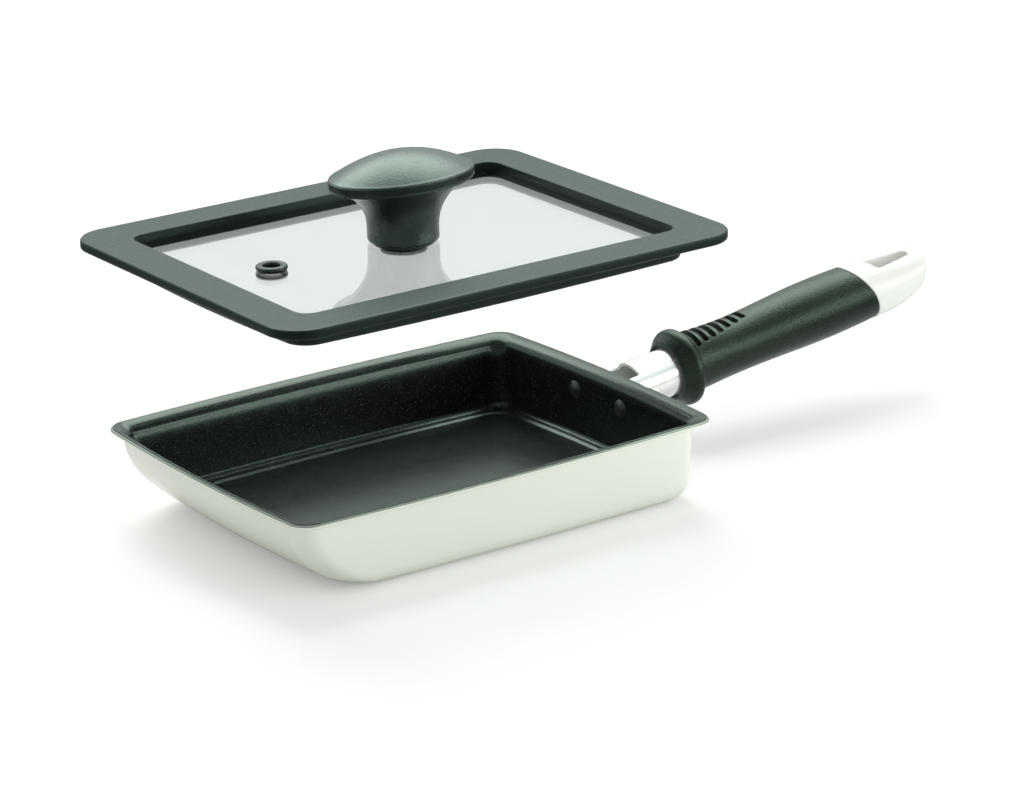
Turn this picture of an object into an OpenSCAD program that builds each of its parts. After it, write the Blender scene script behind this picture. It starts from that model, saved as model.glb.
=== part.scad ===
// Tamagoyaki pan with a raised lid: pressed pan, riveted handle with a rubber grip, and a glass lid.
// +X points from the pan to the handle's tail, +Z is up, and the origin is the centre of the base.

/* [Pan] */
// Length over the rim, along X
rim_len = 191; // [180:1:200]
// Width over the rim, along Y
rim_wid = 144; // [136:1:152]
// Height from base to rim
pan_h = 34; // [32:1:38]
// Thickness of the wall
wall = 1.6; // [1.4:0.1:2.2]
// Thickness of the base
floor_t = 3.5; // [3:0.1:4.5]
// How far the short rims bow outwards
bow_end = 2.2; // [0.5:0.1:3]
// How far the long rims bow outwards
bow_side = 2; // [0.5:0.1:3]
// How far the rim flares out over the wall
flare_w = 4.2; // [4:0.1:5]
// How far the rim flares out at the far end
flare_far = 2.6; // [2:0.1:4]
// Height of the flare
flare_h = 4.6; // [4:0.1:5.5]
// How far the far wall scoops in, for turning the roll out
scoop = 24.5; // [14:0.5:28]
// How far the long walls lean in
lean = 1.8; // [1:0.1:3]
// Radius of the outer bottom edge
base_r = 8; // [6:0.5:10]
// Radius of the rim's corners
rim_corner = 8; // [6:0.5:10]
// Depth of the step round the floor panel
floor_step = 0.9; // [0.5:0.1:1.2]
// Thickness of the non-stick lining
coat_t = 0.35; // [0.3:0.05:0.4]

/* [Handle] */
// Upward tilt of the handle, in degrees
tilt = 8; // [4:1:12]
// Height of the handle's axis where it meets the wall
root_z = 23; // [21:0.5:24]
// Outer radius of the metal neck at the wall
neck_r = 10.7; // [10.2:0.1:11]
// How much slimmer the neck is where it enters the collar
neck_taper = 1; // [0:0.1:1.1]
// Thickness of the neck's sheet
neck_t = 1.5; // [1.2:0.1:1.8]
// Distance from the wall to the neck's arched cover
cover_at = 14; // [12:0.5:15]
// Distance from the wall to the collar
collar_at = 32.2; // [31:0.1:33]
// Largest radius of the collar
collar_r = 15.8; // [15:0.1:17]
// Mean radius of the grip
grip_r = 12.2; // [11.8:0.1:12.6]
// How much slimmer the grip's waist is, and how much fuller its belly
grip_swell = 0.65; // [0.3:0.05:0.9]
// How high the ribs under the thumb stand out of the grip
thumb_rise = 1.1; // [0:0.1:1.4]
// Number of grooves between the ribs
grooves = 7; // [5:1:8]
// Distance between grooves
groove_pitch = 4.4; // [4.2:0.1:4.6]
// Distance from the wall to the end of the grip, on the axis
grip_end = 132; // [130:1:134]
// Distance from the wall to the tip of the tail
tail_end = 164.2; // [163:0.1:168]

/* [Lid] */
// Length of the lid, along X
lid_len = 200; // [198:1:206]
// Width of the lid, along Y
lid_wid = 156; // [152:1:160]
// Radius of the lid's corners
lid_corner = 14; // [12:1:16]
// Width of the flat band round the glass
band = 17; // [16.5:0.5:18]
// Thickness of the flange at its edge
flange_t = 3.8; // [3.4:0.1:4.2]
// Height of the plug below the flange
plug_h = 8; // [5:0.2:9]
// Thickness of the glass
glass_t = 4; // [3.4:0.2:4.2]
// Depth of the glass below the top of the band
glass_at = 3.2; // [2.8:0.1:3.4]
// How high the lid is held over the rim
lift = 70.7; // [20:0.1:100]
// Distance from the lid's centre to the steam vent
vent_at = 58; // [50:1:62]

/* [Knob] */
// Length of the oval cap, along X
cap_len = 60; // [54:1:64]
// Width of the oval cap, along Y
cap_wid = 40; // [36:1:46]
// Radius of the foot
foot_r = 13.6; // [12.6:0.2:15]
// Height from the foot to the lower edge of the cap
stem_h = 22; // [20:0.5:25]
// Height of the cap's band
cap_band = 4; // [3:0.5:5]
// Height of the dome on the cap
dome_h = 8.5; // [6:0.5:9]

/* [Hidden] */
$fn = 64;
// Gap between pieces that only touch
gap = 0.05;
// Clearance between the lid and the rim when it is shut
seat_gap = 0.3;
// Steps along a side, an odd number, so that the middle stretch is flat
side_steps = 5;
corner_steps = 5;

// Half sizes at the corners, from which the sides bow outwards
half_l = rim_len / 2 - bow_end;
half_w = rim_wid / 2 - bow_side;
flare_z = pan_h - flare_h;
// Rise of the flare's outer face, and the angle from upright at which it ends
flare_rise = flare_h - wall - coat_t - gap;
flare_a = 75;
floor_z = floor_t + floor_step;
fillet_r = 5;
ledge_w = 3.5;

// Outer face of the handle-side wall, and the rivets in it
wall_x = half_l - flare_w + bow_end * (1 - pow(1 / side_steps, 2));
rivet_y = 15;
rivet_z = 23.5;
rivet_r = 2.4;
rivet_head_r = 3.8;
rivet_dome = 1.5;
rivet_back = 1.2;

// Handle, with distances along its axis from the wall
root = [wall_x, 0, root_z];
neck_open = 45;
neck_end = 38.5;
web_at = 24;
web_t = 2.5;
bolt_r = 2.5;
bolt_head_r = 4.3;
bolt_head_t = 3;
slot_w = 1.2;
slot_len = 5.2;
slot_deep = 1.5;
bolt_washer_r = 5.6;
bolt_end = 66;
insert_r = 4.2;
insert_from = 44;
insert_to = 70;
core_r = 8.4;
core_from = 28.5;
core_step = 40.4;
tail_w = 11.4;
hole_from = 138.8;
hole_to = 158.8;
hole_w = 11;
hole_end_r = 3;
grip_from = collar_at + 9.6;
groove_from = collar_at + 11.6;
// Slimmest and fullest places of the grip, and the end of the raised ribs
waist_at = 64;
belly_at = 112;
rise_end = 68;
// The face that ends the grip leans back at its foot, and its top and foot curve forwards
part_lean = 0.36;
part_bulge = 2.3;
section_n = 32;
grip_steps = 12;

// Heights of the lid's layers, with the lid where it is held
lid_z = pan_h + seat_gap + lift;
lid_top = lid_z + flange_t;
glass_z = lid_top - glass_at - glass_t;
// Plug that enters the pan, measured like the rim it has to pass
plug_gap = 0.7;
plug_l = half_l - flare_w - wall - coat_t - plug_gap;
plug_w = half_w - flare_w - wall - coat_t - plug_gap;
plug_r = 9;
// Depth of the groove that holds the glass
channel = 1.3;
glass_r = 7;
vent_hole_r = 4.4;
knob_hole_r = 4;
gasket_t = 0.8;
foot_z = lid_top - glass_at + gasket_t;
// Screw from below into the brass insert in the knob's foot
screw_r = 2;
screw_len = 16;
screw_head_r = 3.6;
screw_head_t = 2.2;
brass_r = 3.4;
brass_len = 14;
brass_at = 0.3;
seal_t = 0.8;
seal_r = 8.2;
washer_t = 1.2;
washer_r = 8.8;

// Points of one side of an outline, without its last one, bowed outwards along n.
function side_points(p, q, n, bow) =
    [for (i = [0:side_steps - 1]) let (t = i / side_steps)
        p + (q - p) * t + n * bow * (1 - pow(2 * t - 1, 2))];

// Points of a quarter circle, without its last one.
function corner_points(c, r, from) =
    [for (i = [0:corner_steps - 1]) let (a = from + 90 * i / corner_steps) c + r * [cos(a), sin(a)]];

// Rounded rectangle from x = left to x = right at height z, with bowed sides.
function outline(z, left, right, half, r_left, r_right, be, bs) =
    [for (p = concat(
        side_points([right, -half + r_right], [right, half - r_right], [1, 0], be),
        corner_points([right - r_right, half - r_right], r_right, 0),
        side_points([right - r_right, half], [left + r_left, half], [0, 1], bs),
        corner_points([left + r_left, half - r_left], r_left, 90),
        side_points([left, half - r_left], [left, -half + r_left], [-1, 0], be),
        corner_points([left + r_left, -half + r_left], r_left, 180),
        side_points([left + r_left, -half], [right - r_right, -half], [0, -1], bs),
        corner_points([right - r_right, -half + r_right], r_right, 270)
    )) [p[0], p[1], z]];

// Solid through a stack of rings, closed by flat ends.
module skin(rings) {
    n = len(rings[0]);
    last = len(rings) - 1;
    points = [for (r = rings) each r];
    walls = [for (k = [0:last - 1], i = [0:n - 1]) let (j = (i + 1) % n)
        each [[k * n + i, (k + 1) * n + i, (k + 1) * n + j], [k * n + i, (k + 1) * n + j, k * n + j]]];
    caps = [[for (i = [0:n - 1]) i], [for (i = [n - 1:-1:0]) last * n + i]];
    polyhedron(points, concat(walls, caps), convexity = 8);
}

// Solid ring through a closed loop of rings, such as a frame.
module loop_skin(rings) {
    n = len(rings[0]);
    m = len(rings);
    points = [for (r = rings) each r];
    faces = [for (k = [0:m - 1], i = [0:n - 1]) let (j = (i + 1) % n, l = (k + 1) % m)
        each [[k * n + i, l * n + i, l * n + j], [k * n + i, l * n + j, k * n + j]]];
    polyhedron(points, faces, convexity = 8);
}

// Flat rounded rectangle.
module rounded_rect(length, width, r) {
    square([length - 2 * r, width], center = true);
    square([length, width - 2 * r], center = true);
    for (x = [-1, 1], y = [-1, 1]) translate([x * (length / 2 - r), y * (width / 2 - r)]) circle(r);
}

// Places its children with +X along the handle's axis and the origin on the wall.
module on_handle() {
    translate(root) rotate([0, -tilt, 0]) children();
}

// Extrudes a flat section, drawn in Y and Z, along X.
module along_x(from, to) {
    translate([from, 0, 0]) rotate([90, 0, 90]) linear_extrude(to - from) children();
}

// Cylinder along X.
module rod(from, to, r) {
    translate([from, 0, 0]) rotate([0, 90, 0]) cylinder(h = to - from, r = r);
}

// How far the outer wall stands in from the rim at height z: long sides, handle end and far end.
function in_side(z) = flare_w + lean * (flare_z - z) / flare_z;
function in_far(z, bottom) = flare_far + scoop * pow((flare_z - z) / (flare_z - bottom), 2);
// Share of the long sides' bow that is left at height z.
function bow_at(z) = 0.4 + 0.6 * z / pan_h;
// Corner radii at height z, larger where the far wall scoops in.
function r_far(z) = rim_corner + 5 * (1 - z / pan_h);
function r_near(z) = rim_corner + 2 * (1 - z / pan_h);

// Outline of the pan that stands in from the rim by the given amounts.
function pan_outline(z, side, near, far, shrink) =
    outline(z, -half_l + far, half_l - near, half_w - side,
        r_far(z) - shrink, r_near(z) - shrink, bow_end, bow_side * bow_at(z));

// Flare at angle a from upright, moved by d towards the inside of the pan.
function flare_ring(a, d) = let (
        left = 1 - (1 - cos(a)) / (1 - cos(flare_a)),
        s = flare_w * left + d * cos(a),
        z = flare_z + flare_rise * sin(a) / sin(flare_a) + d * sin(a))
    pan_outline(z, s, s, flare_far * left + d * cos(a), min(d, wall) * cos(a));

function outer_rings() = concat(
    [for (a = [0:22.5:67.5]) let (z = base_r * (1 - cos(a)), e = base_r * (1 - sin(a)))
        pan_outline(z, in_side(z) + e, flare_w + e, in_far(z, 0) + e, 0)],
    [for (i = [0:4]) let (z = base_r + (flare_z - base_r) * i / 4)
        pan_outline(z, in_side(z), flare_w, in_far(z, 0), 0)],
    [for (a = [25:25:75]) flare_ring(a, 0)]);

// Inner face at distance d from the outer face, from the rim down to the floor panel.
function inner_rings(d) = let (low = floor_z + d - wall) concat(
    [for (a = [75:-25:25]) flare_ring(a, d)],
    [for (i = [0:4]) let (z = flare_z - (flare_z - low - fillet_r) * i / 4)
        pan_outline(z, in_side(z) + d, flare_w + d, in_far(z, low) + d, d)],
    [for (a = [67.5:-22.5:0])
        let (z = low + fillet_r * (1 - cos(a)), e = fillet_r * (1 - sin(a)) + d)
        pan_outline(z, in_side(z) + e, flare_w + e, in_far(z, low) + e, d)],
    [for (k = [0:2]) let (
            e = d + fillet_r + ledge_w + [0, 0.6, 1.6][k],
            z = low - floor_step * [0, 0.25, 1][k])
        pan_outline(z, in_side(low) + e, flare_w + e, in_far(low, low) + e, d)]);

module pan_body() {
    color("ivory") difference() {
        skin(concat(outer_rings(), [flare_edge()], inner_rings(wall)));
        for (y = [-rivet_y, rivet_y])
            translate([wall_x - 3 * wall, y, rivet_z]) rotate([0, 90, 0]) cylinder(h = 5 * wall, r = rivet_r);
    }
}

// Outermost edge of the rim.
function flare_edge() = pan_outline(flare_z + flare_rise + wall / 2, -0.3, -0.3, -0.3, 0);

function reversed(list) = [for (k = [len(list) - 1:-1:0]) list[k]];

module nonstick_coating() {
    color("#20241f") difference() {
        skin(concat(reversed(inner_rings(wall + gap)), inner_rings(wall + gap + coat_t)));
        for (y = [-rivet_y, rivet_y])
            translate([wall_x - 4 * wall, y, rivet_z]) rotate([0, 90, 0]) cylinder(h = 5 * wall, r = rivet_r);
    }
}

// Low dome of radius r and height h that stands on its flat face.
module dome(r, h) {
    ball_r = (r * r + h * h) / (2 * h);
    rotate_extrude() intersection() {
        translate([0, h - ball_r]) circle(ball_r);
        square([r, h]);
    }
}

module rivets() {
    // The heads stand just off the lining and off the bracket's plate
    head_at = -wall - coat_t - 8 * gap;
    back_at = neck_t + 3 * gap;
    bevel = 0.8;
    color("#2b2e2a") for (y = [-rivet_y, rivet_y])
        translate([wall_x, y, rivet_z]) rotate([0, 90, 0]) {
            translate([0, 0, head_at]) cylinder(h = back_at - head_at + gap, r = rivet_r - gap);
            translate([0, 0, head_at]) rotate([180, 0, 0]) dome(rivet_head_r, rivet_dome);
            translate([0, 0, back_at]) cylinder(h = rivet_back, r1 = rivet_head_r, r2 = rivet_head_r - bevel);
        }
}

// Wedge of the neck's section that is open at the top.
module top_wedge(angle) {
    far = 2 * neck_r;
    polygon([[0, 0], far * [-sin(angle), cos(angle)], far * [sin(angle), cos(angle)]]);
}

// The neck tapers to the collar and runs straight from there.
function neck_radius(s) = neck_r - neck_taper * min(1, s / collar_at);

// Sheet of the neck, all the way round.
module neck_shell(from, to) {
    start = neck_radius(from);
    end = neck_radius(to);
    rotate([0, 90, 0]) rotate_extrude() polygon([
        [start - neck_t, from], [start, from], [end, collar_at],
        [end, to], [end - neck_t, to], [end - neck_t, collar_at]]);
}

// Wall across the neck that the bolt's head pulls against.
module neck_web() {
    r = neck_radius(web_at + web_t);
    difference() {
        circle(r - neck_t / 2);
        difference() {
            top_wedge(neck_open + 2);
            circle(r - neck_t - 2 * gap);
        }
    }
}

module handle_bracket() {
    plate_w = 42;
    plate_r = 4;
    plate_low = 13;
    plate_high = flare_z - 0.8;
    color("silver") difference() {
        union() {
            translate([wall_x + gap, 0, (plate_low + plate_high) / 2]) rotate([90, 0, 90])
                linear_extrude(neck_t) rounded_rect(plate_w, plate_high - plate_low, plate_r);
            difference() {
                on_handle() {
                    difference() {
                        neck_shell(-4, neck_end);
                        along_x(-5, neck_end + 1) top_wedge(neck_open);
                    }
                    along_x(web_at, web_at + web_t) neck_web();
                }
                // Flush with the back of the plate, and clear of the flare of the rim
                translate([wall_x + gap - 20, -20, 0]) cube([20, 40, 40]);
                translate([wall_x - 1, -20, plate_high - 0.3]) cube([flare_w + 2.5, 40, 20]);
            }
        }
        on_handle() rod(web_at - 1, web_at + web_t + 1, bolt_r + 0.2);
        for (y = [-rivet_y, rivet_y])
            translate([wall_x - 1, y, rivet_z]) rotate([0, 90, 0]) cylinder(h = 5, r = rivet_r);
    }
}

module bracket_cover() {
    color("gainsboro") on_handle() intersection() {
        neck_shell(cover_at, neck_end);
        along_x(cover_at - 1, neck_end + 1) top_wedge(neck_open - 0.5);
    }
}

module bolt_washer() {
    color("silver") on_handle() difference() {
        rod(web_at - 1.05, web_at - gap, bolt_washer_r);
        rod(web_at - 2, web_at + 1, bolt_r + 0.2);
    }
}

// Cross slot that a bolt or screw is turned by, cut downwards from z = 0.
module cross_slot(length, width, deep) {
    for (a = [0, 90]) rotate(a) translate([-length / 2, -width / 2, -deep]) cube([length, width, deep + 1]);
}

module handle_bolt() {
    head_at = web_at - 1.1;
    color("silver") on_handle() difference() {
        union() {
            rod(head_at - bolt_head_t, head_at, bolt_head_r);
            rod(head_at - 0.1, bolt_end, bolt_r);
        }
        translate([head_at - bolt_head_t, 0, 0]) rotate([0, -90, 0]) cross_slot(slot_len, slot_w, slot_deep);
    }
}

module core_insert() {
    color("goldenrod") on_handle() difference() {
        rod(insert_from, insert_to, insert_r);
        rod(insert_from - 1, bolt_end + 1, bolt_r + 0.1);
    }
}

// Section of the grip and tail across the axis: half width w, from v = low to v = high.
// Where lean is 1, the section lies in the curved face that ends the grip.
function oval(s, lean, w, low, high, power) =
    [for (i = [0:section_n - 1]) let (
            a = 360 * i / section_n,
            c = cos(a),
            d = sin(a),
            y = w * sign(c) * pow(abs(c), power),
            v = (high + low) / 2 + (high - low) / 2 * sign(d) * pow(abs(d), power))
        [s - lean * (part_lean * v + part_bulge * pow(v / grip_r, 2)), y, v]];

// The grip is slim where the fingers close and full in the palm.
function grip_radius(s) = grip_r - grip_swell * cos(180 * (s - waist_at) / (belly_at - waist_at));

// Height that the ribs add to the top of the grip, highest beside the collar.
function rise_at(s) = thumb_rise * pow(max(0, rise_end - s) / (rise_end - grip_from), 1.3);

// Tail at share k of its length: the top flattens, and the foot curves up to the tip.
function tail_ring(k) = let (
        s = grip_end + 2 * gap + (tail_end - grip_end) * sin(90 * k),
        r = grip_radius(grip_end),
        top = 8.4,
        tip = 7.2,
        tip_w = 1.2,
        closing = sqrt(max(0, 1 - pow(k, 2.6))))
    oval(s, 1 - k, tip_w + (tail_w - tip_w) * pow(closing, 0.8) + (r - tail_w) * pow(1 - k, 3),
        tip - (tip + r) * pow(closing, 1.8), top + (r - top) * pow(1 - k, 3), 0.9);

module handle_core() {
    tail_rings = concat([for (k = [0:0.1:0.9]) tail_ring(k)], [tail_ring(0.96), tail_ring(0.995)]);
    color("white") on_handle() difference() {
        union() {
            skin(concat([round_ring(grip_end + 2 * gap, core_r - 1, 1)], tail_rings));
            rod(core_step - 1, grip_end + 8, core_r);
            rod(neck_end + gap, core_step, neck_radius(neck_end));
            rod(core_from, neck_end + 1, neck_radius(neck_end) - neck_t - 4 * gap);
        }
        rod(core_from - 1, insert_from + 1, bolt_r + 0.3);
        rod(insert_from - gap, insert_to + 0.5, insert_r + gap);
        translate([0, 0, -30]) linear_extrude(60) hanging_hole();
    }
}

// Points along an arc from one angle to another.
function arc(c, r, from, to, steps) =
    [for (i = [0:steps]) let (a = from + (to - from) * i / steps) c + r * [cos(a), sin(a)]];

// Hanging hole seen from above: straight front edge, tapering to a round end.
module hanging_hole() {
    corner = 1.6;
    front = [hole_from + corner, hole_w / 2 - corner];
    back = [hole_to - hole_end_r, 0];
    span = back - front;
    // Direction square to the straight side that joins the two round ends
    square_to = atan2(span[1], span[0]) + acos((corner - hole_end_r) / norm(span));
    polygon(concat(
        arc(back, hole_end_r, -square_to, square_to, 12),
        arc(front, corner, square_to, 180, 5),
        arc([front[0], -front[1]], corner, 180, 360 - square_to, 5)));
}

module grip_sleeve() {
    // The collar has a flat cone in front, a broad band and a hollow behind it
    ring_s = [0, 3.2, 3.7, 5, 6.8, 7.6, 8.5, 9.2];
    ring_r = [11.9, 14.6, 15.2, collar_r, collar_r, collar_r - 0.6, 13.9, 12.6];
    outer = concat(
        [for (i = [0:len(ring_s) - 1]) round_ring(collar_at + ring_s[i], ring_r[i], 0)],
        [for (i = [0:grip_steps]) let (t = i / grip_steps, s = grip_from + (grip_end - grip_from) * t)
            oval(s, t, grip_radius(s), -grip_radius(s), grip_radius(s) + rise_at(s), 1)]);
    // Bore round the core, wider where it takes the core's shoulder and the end of the neck
    neck_bore = neck_radius(neck_end) + 2 * gap;
    recess_r = neck_radius(neck_end) + 1.2;
    bore = [round_ring(grip_end, core_r + 2 * gap, 1),
            round_ring(core_step + 4 * gap, core_r + 2 * gap, 0),
            round_ring(core_step + gap, neck_bore, 0),
            round_ring(collar_at + 1.4, neck_bore, 0),
            round_ring(collar_at + 1.2, recess_r, 0),
            round_ring(collar_at, recess_r, 0)];
    color("#262b28") on_handle() difference() {
        loop_skin(concat(outer, bore));
        for (i = [0:grooves - 1]) groove(groove_from + groove_pitch * i, 8 - 0.8 * i);
    }
}

function round_ring(s, r, lean) = oval(s, lean, r, -r, r, 1);

// One groove across the top of the grip at distance s, as wide as 2 * half, following the curve of the grip.
module groove(s, half) {
    deep = 1.3;
    broad = 1.8;
    r = grip_radius(s) + rise_at(s);
    above = 3;
    foot = sqrt(r * r - half * half) - deep;
    rotate([0, 90, 0]) translate([0, 0, s]) difference() {
        translate([-r - above, -half, -broad / 2]) cube([r + above - foot, 2 * half, broad]);
        translate([0, 0, -1]) cylinder(h = 2, r = r - deep);
    }
}

// Ring of the flange or the opening, set in from the lid's edge.
function lid_ring(in, z, r) =
    outline(lid_z + z, -lid_len / 2 + in, lid_len / 2 - in, lid_wid / 2 - in, r, r, 0, 0);

// Ring of the plug, set in from its outer face, bowed like the pan's rim.
function plug_ring(in, z) =
    outline(lid_z + z, -plug_l + in, plug_l - in, plug_w - in, plug_r, plug_r, bow_end - 0.2, bow_side - 0.3);

module lid_frame() {
    seat = flange_t - glass_at;
    open_r = 6;
    color("#2e3431") loop_skin([
        // Opening and the groove that holds the glass
        lid_ring(band - 0.5, flange_t, open_r),
        lid_ring(band, flange_t - 0.5, open_r),
        lid_ring(band, seat + gap, open_r),
        lid_ring(band - channel, seat + gap, glass_r),
        lid_ring(band - channel, seat - glass_t - gap, glass_r),
        lid_ring(band, seat - glass_t - gap, open_r),
        // Plug
        lid_ring(band, -plug_h + 0.8, open_r),
        lid_ring(band + 0.6, -plug_h, open_r),
        plug_ring(0.6, -plug_h),
        plug_ring(0, -plug_h + 1.5),
        plug_ring(0, 0),
        // Edge of the flange
        lid_ring(1.3, 0, lid_corner - 1),
        lid_ring(0.25, 0.9, lid_corner),
        lid_ring(0, flange_t - 1.6, lid_corner),
        lid_ring(0.35, flange_t - 0.5, lid_corner),
        lid_ring(1.2, flange_t, lid_corner - 1)
    ]);
}

module glass_pane() {
    edge = band - channel + 2 * gap;
    color("lightcyan", 0.4) translate([0, 0, glass_z]) linear_extrude(glass_t) difference() {
        rounded_rect(lid_len - 2 * edge, lid_wid - 2 * edge, glass_r);
        circle(knob_hole_r);
        translate([-vent_at, 0]) circle(vent_hole_r);
    }
}

module vent_grommet() {
    over = 2.1;
    under = 1.3;
    flange_r = 6;
    bore = 3.2;
    top = glass_t + gap + over;
    color("#1d211f") translate([-vent_at, 0, glass_z]) rotate_extrude() difference() {
        union() {
            translate([0, -under - gap]) square([flange_r, under]);
            translate([0, -under]) square([vent_hole_r - gap, glass_t + under + over]);
            translate([0, glass_t + gap]) square([flange_r - 0.5, over]);
            translate([0, glass_t + gap + 0.5]) square([flange_r, over - 1]);
            translate([flange_r - 0.5, glass_t + gap + 0.5]) circle(0.5);
            translate([flange_r - 0.5, glass_t + gap + over - 0.5]) circle(0.5);
        }
        translate([-1, -5]) square([1 + bore, 20]);
        polygon([[0, top - 0.8], [bore, top - 0.8], [bore + 0.8, top + 0.1], [0, top + 0.1]]);
    }
}

// Oval of the knob at height z over its foot.
function knob_ring(z, a, b) = [for (i = [0:35]) [a * cos(10 * i), b * sin(10 * i), foot_z + z]];

// Waisted stem: a straight foot that opens out under the cap.
function stem_ring(t) = let (
        open = pow(t, 2.6),
        a = foot_r + (cap_len / 2 - 4 - foot_r) * open,
        b = foot_r + (cap_wid / 2 - 3 - foot_r) * open)
    knob_ring(4 + (stem_h - 4) * t, a, b);

module knob() {
    top = stem_h + cap_band;
    color("#262b28") difference() {
        skin(concat(
            [knob_ring(0, foot_r - 1.2, foot_r - 1.2), knob_ring(0.5, foot_r - 0.3, foot_r - 0.3),
             knob_ring(1.4, foot_r, foot_r)],
            [for (t = [0:0.125:1]) stem_ring(t)],
            [knob_ring(stem_h + 0.2, cap_len / 2 - 1, cap_wid / 2 - 1),
             knob_ring(stem_h + 1.2, cap_len / 2, cap_wid / 2),
             knob_ring(top - 0.8, cap_len / 2, cap_wid / 2)],
            [for (k = [0.97, 0.85, 0.7, 0.52, 0.34, 0.16])
                knob_ring(top + dome_h * (1 - k * k), cap_len / 2 * k, cap_wid / 2 * k)]));
        translate([0, 0, foot_z - 1]) cylinder(h = brass_at + brass_len + 1.2, r = brass_r);
    }
}

// Flat ring with the given radii, standing on z = 0.
module ring(h, outer, inner) {
    difference() {
        cylinder(h = h, r = outer);
        translate([0, 0, -1]) cylinder(h = h + 2, r = inner);
    }
}

module knob_insert() {
    color("goldenrod") translate([0, 0, foot_z + brass_at]) difference() {
        cylinder(h = brass_len, r = brass_r - gap);
        translate([0, 0, -1]) cylinder(h = brass_len - 1, r = screw_r + 0.1);
    }
}

module knob_gasket() {
    color("#1d211f") translate([0, 0, lid_top - glass_at + gap])
        ring(gasket_t - 2 * gap, foot_r - 1.6, brass_r - 0.2);
}

module glass_bush() {
    color("#1d211f") translate([0, 0, glass_z]) ring(glass_t, knob_hole_r - gap, screw_r + 0.2);
}

module washer_seal() {
    color("#1d211f") translate([0, 0, glass_z - gap - seal_t]) ring(seal_t, seal_r, screw_r + 0.2);
}

module knob_washer() {
    color("silver") translate([0, 0, glass_z - 2 * gap - seal_t - washer_t])
        ring(washer_t, washer_r, screw_r + 0.2);
}

module knob_screw() {
    color("silver") translate([0, 0, glass_z - 3 * gap - seal_t - washer_t]) difference() {
        union() {
            cylinder(h = screw_len, r = screw_r);
            rotate([180, 0, 0]) dome(screw_head_r, screw_head_t);
        }
        translate([0, 0, -screw_head_t]) rotate([180, 0, 0]) cross_slot(3.6, 0.9, 1.2);
    }
}

pan_body();
nonstick_coating();
rivets();
handle_bracket();
bracket_cover();
bolt_washer();
handle_bolt();
core_insert();
handle_core();
grip_sleeve();
lid_frame();
glass_pane();
vent_grommet();
knob();
knob_insert();
knob_gasket();
glass_bush();
knob_washer();
washer_seal();
knob_screw();
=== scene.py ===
import math

import bmesh
import bpy
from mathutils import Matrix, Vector


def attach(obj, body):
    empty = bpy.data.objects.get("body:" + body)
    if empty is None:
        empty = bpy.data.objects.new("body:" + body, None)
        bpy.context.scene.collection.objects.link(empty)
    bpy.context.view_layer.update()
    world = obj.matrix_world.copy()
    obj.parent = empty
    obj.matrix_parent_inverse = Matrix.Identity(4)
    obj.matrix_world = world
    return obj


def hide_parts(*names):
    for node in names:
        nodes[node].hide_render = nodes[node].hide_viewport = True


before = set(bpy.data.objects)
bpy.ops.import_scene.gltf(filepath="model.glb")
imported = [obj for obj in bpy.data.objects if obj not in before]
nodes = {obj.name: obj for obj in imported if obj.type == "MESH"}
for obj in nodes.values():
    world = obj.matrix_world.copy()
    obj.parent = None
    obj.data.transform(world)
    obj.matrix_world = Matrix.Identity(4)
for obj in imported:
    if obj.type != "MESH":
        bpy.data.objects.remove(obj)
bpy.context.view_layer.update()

# View of the photograph: from the front left and a little above, through a long lens.


def add_object(name, data):
    """A new object in the scene."""
    made = bpy.data.objects.new(name, data)
    bpy.context.scene.collection.objects.link(made)
    return made


camera = add_object("camera", bpy.data.cameras.new("camera"))
camera.data.lens = 136.5
camera.location = (-0.7632, -1.1636, 0.5249)
camera.rotation_euler = [math.radians(a) for a in (70.888, 1.254, -35.310)]
bpy.context.scene.camera = camera

# Pan body. One aluminium sheet pressed to a rectangular pan and enamelled white outside. Its rim flares out
# over the wall and is ground bare along the edge, and the far wall scoops in so that the roll slides out.
rim_len, rim_wid, pan_h = 191, 144, 34
wall, floor_t, floor_step = 1.6, 3.5, 0.9
bow_end, bow_side = 2.2, 2.0
flare_w, flare_far, flare_h, flare_a = 4.2, 2.6, 4.6, 75
scoop, lean, base_r, rim_corner = 24.5, 1.8, 8, 8
corner_gain_far, corner_gain_near, bow_loss = 5, 2, 0.6  # how corners and bow change from the rim to the base
coat_t, gap = 0.35, 0.05
half_l, half_w = rim_len / 2 - bow_end, rim_wid / 2 - bow_side
flare_z = pan_h - flare_h
flare_rise = flare_h - wall - coat_t - gap
floor_z = floor_t + floor_step
fillet_r, ledge_w = 2.4, 0.3
# Rows of (distance past the ledge, share of the step) where the floor panel steps down
step_rows = ((-0.1, 0), (0.1, 0.03), (0.4, 0.2), (0.8, 0.5), (1.2, 0.8), (1.5, 0.97), (1.8, 1), (3, 1))
thicker, thicker_h = 0.5, 2  # the sheet gets this much thicker, over this height under the flare
wall_rows, wall_spread = 16, 1.8  # rings of the inner wall, which lie closer together under the flare
bare_from, bare_to = 0.03290, 0.03302  # the height in metres where the rim's enamel ends


def cos(degrees):
    return math.cos(math.radians(degrees))


def sin(degrees):
    return math.sin(math.radians(degrees))


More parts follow.
